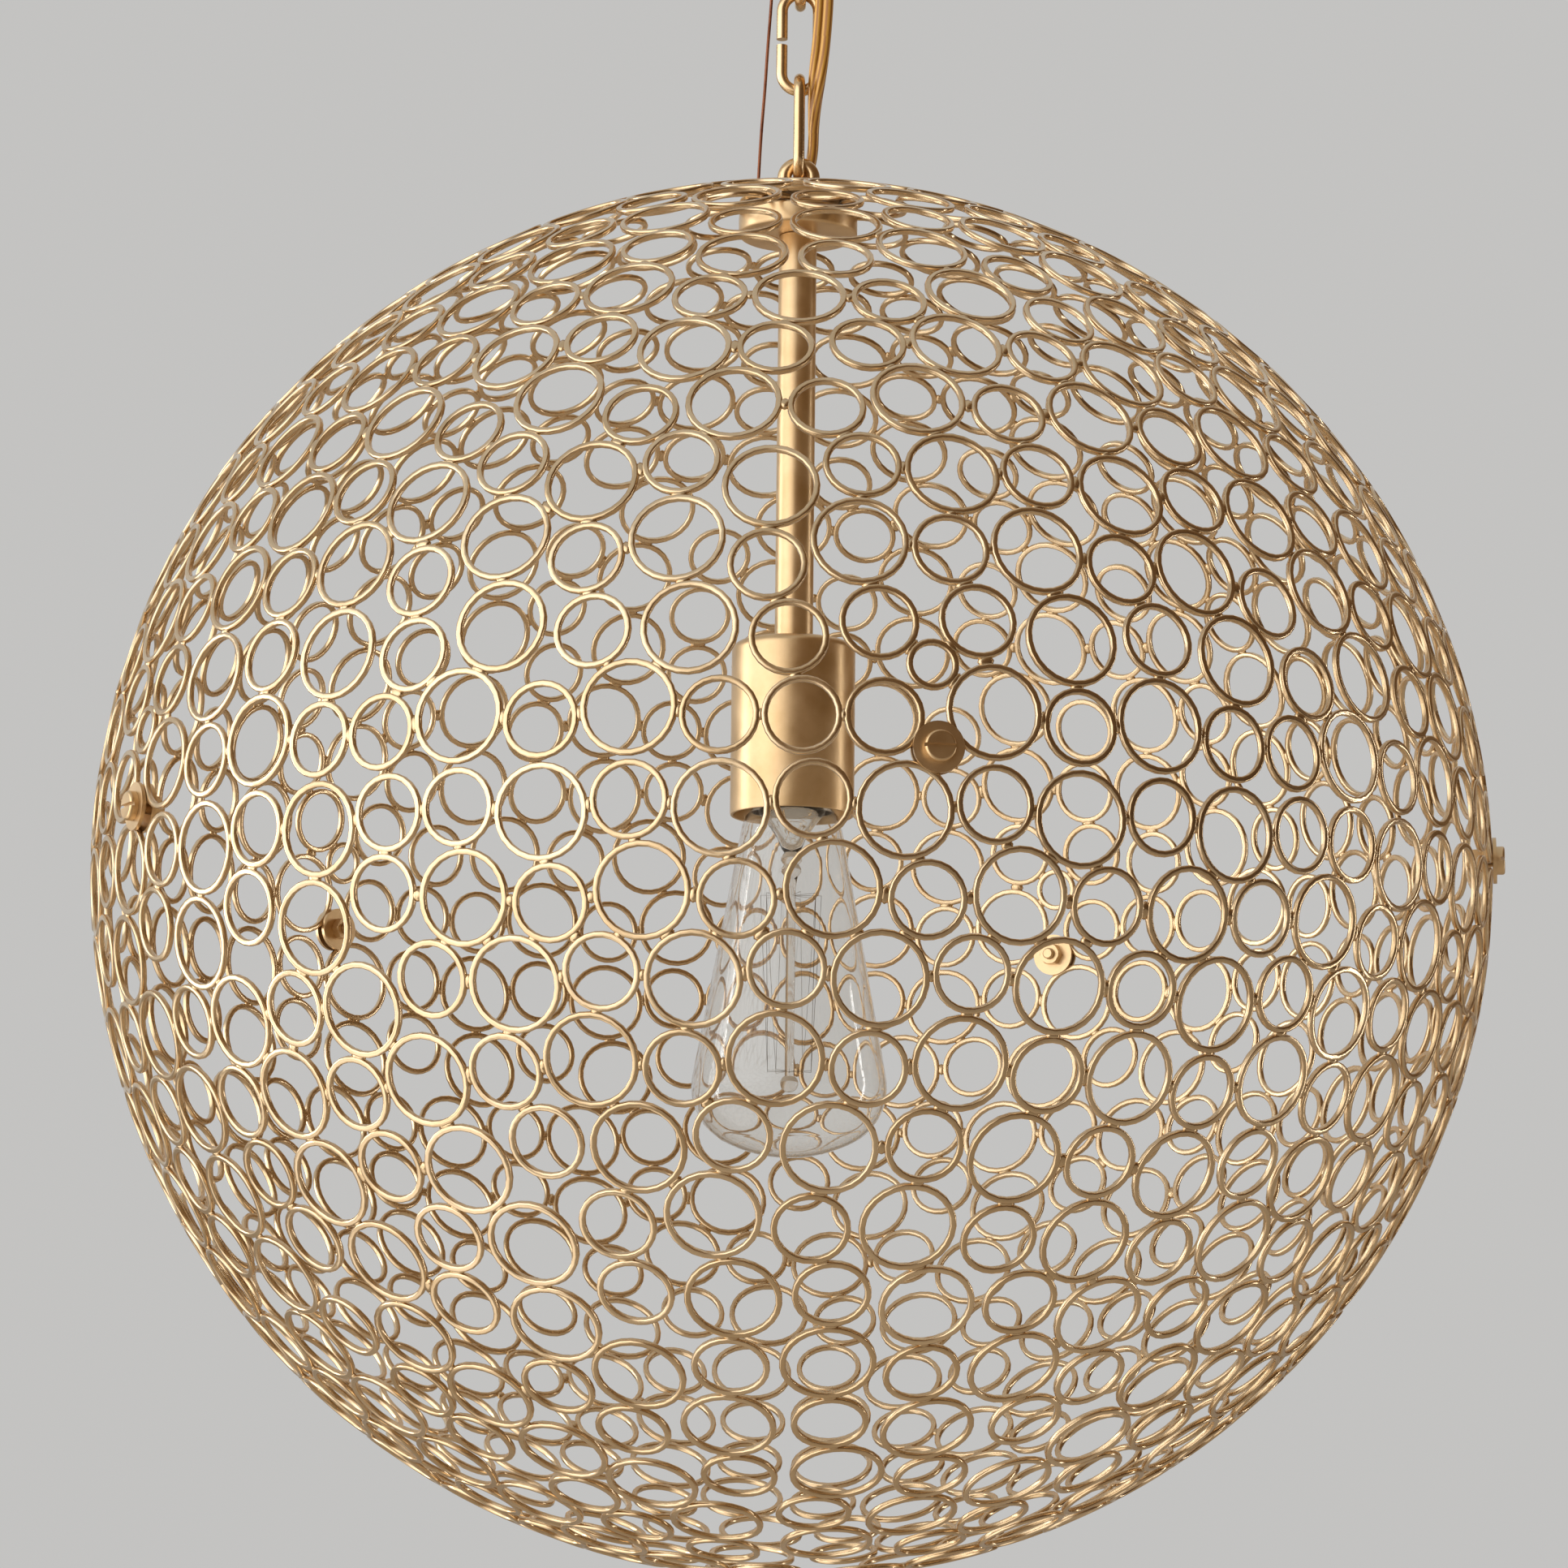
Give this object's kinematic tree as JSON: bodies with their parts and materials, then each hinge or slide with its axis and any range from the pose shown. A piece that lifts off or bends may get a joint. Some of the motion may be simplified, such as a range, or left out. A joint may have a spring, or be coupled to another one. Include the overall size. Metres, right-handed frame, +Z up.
{
  "type": "pendant light",
  "caption": "Globe pendant light welded from wire rings, with a stem, socket and clear bulb inside, hung from a canopy by a chain with a lamp cord.",
  "frame": {"origin": "middle of the two ceiling-box slots, on the ceiling plane", "axes": "+Z up into the ceiling, -Y towards the picture's camera, +X to its right"},
  "size_m": [0.4596, 0.458, 0.6114],
  "materials": {
    "gold": "satin champagne-gold paint",
    "zinc": "zinc plate",
    "green_zinc": "satin paint",
    "insulator": "matt glaze",
    "brass": "bright",
    "nickel": "nickel plate",
    "black_glass": "gloss",
    "glass": "clear",
    "filament": "dull",
    "amber_cord": "clear amber jacket over copper strands",
    "copper": "bare copper"
  },
  "bodies": {
    "canopy": {"crossbar": "zinc", "canopy_nipple": "zinc", "nipple_nut": "zinc", "canopy": "gold", "canopy_collar": "gold", "canopy_loop": "gold"},
    "link_top": {"chain_link_top": "gold", "lamp_cord_1": "amber_cord", "ground_wire_1": "copper"},
    "link_middle": {"chain_link_middle": "gold", "lamp_cord_2": "amber_cord", "ground_wire_2": "copper"},
    "link_bottom": {"chain_link_bottom": "gold", "lamp_cord_3": "amber_cord", "ground_wire_3": "copper"},
    "bulb": {"bulb_glass": "glass", "bulb_base": "nickel", "bulb_insulator": "black_glass", "bulb_contact": "nickel", "bulb_mount": "glass", "bulb_filament": "filament"},
    "globe": {"hang_loop": "gold", "top_plate_outer": "gold", "top_plate_inner": "gold", "ground_screw": "green_zinc", "threaded_rod": "zinc", "stem_tube": "gold", "socket_cup": "gold", "cup_nut": "zinc", "socket_body": "insulator", "socket_screw_shell": "brass", "socket_contact": "brass", "upper_large_rings": "gold", "upper_small_rings": "gold", "filler_rings": "gold", "lower_large_rings": "gold", "lower_small_rings": "gold", "pole_ring": "gold", "clamp_screws": "gold", "clamp_outer_washers": "gold", "clamp_inner_washers": "gold", "clamp_nuts": "gold", "lamp_cord_4": "amber_cord", "ground_wire_4": "copper"}
  },
  "joints": [
    {"name": "top_link_swing", "type": "hinge", "parent": "canopy", "child": "link_top", "pos_m": [0, 0, -0.05315], "axis": [1, 0, 0], "range_deg": [-25, 25], "deforming": ["lamp_cord_1", "ground_wire_1"]},
    {"name": "middle_link_swing", "type": "hinge", "parent": "link_top", "child": "link_middle", "pos_m": [0, 0, -0.08335], "axis": [0, 1, 0], "range_deg": [-25, 25], "deforming": ["lamp_cord_2", "ground_wire_2"]},
    {"name": "bottom_link_swing", "type": "hinge", "parent": "link_middle", "child": "link_bottom", "pos_m": [0, 0, -0.11365], "axis": [1, 0, 0], "range_deg": [-25, 25], "deforming": ["lamp_cord_3", "ground_wire_3"]},
    {"name": "globe_swing", "type": "hinge", "parent": "link_bottom", "child": "globe", "pos_m": [0, 0, -0.14395], "axis": [0, 1, 0], "range_deg": [-25, 25], "deforming": ["lamp_cord_4", "ground_wire_4"]},
    {"name": "bulb_turn", "type": "hinge", "parent": "globe", "child": "bulb", "pos_m": [0, 0, -0.35315], "axis": [0, 0, -1], "range_deg": [0, 1080]}
  ]
}
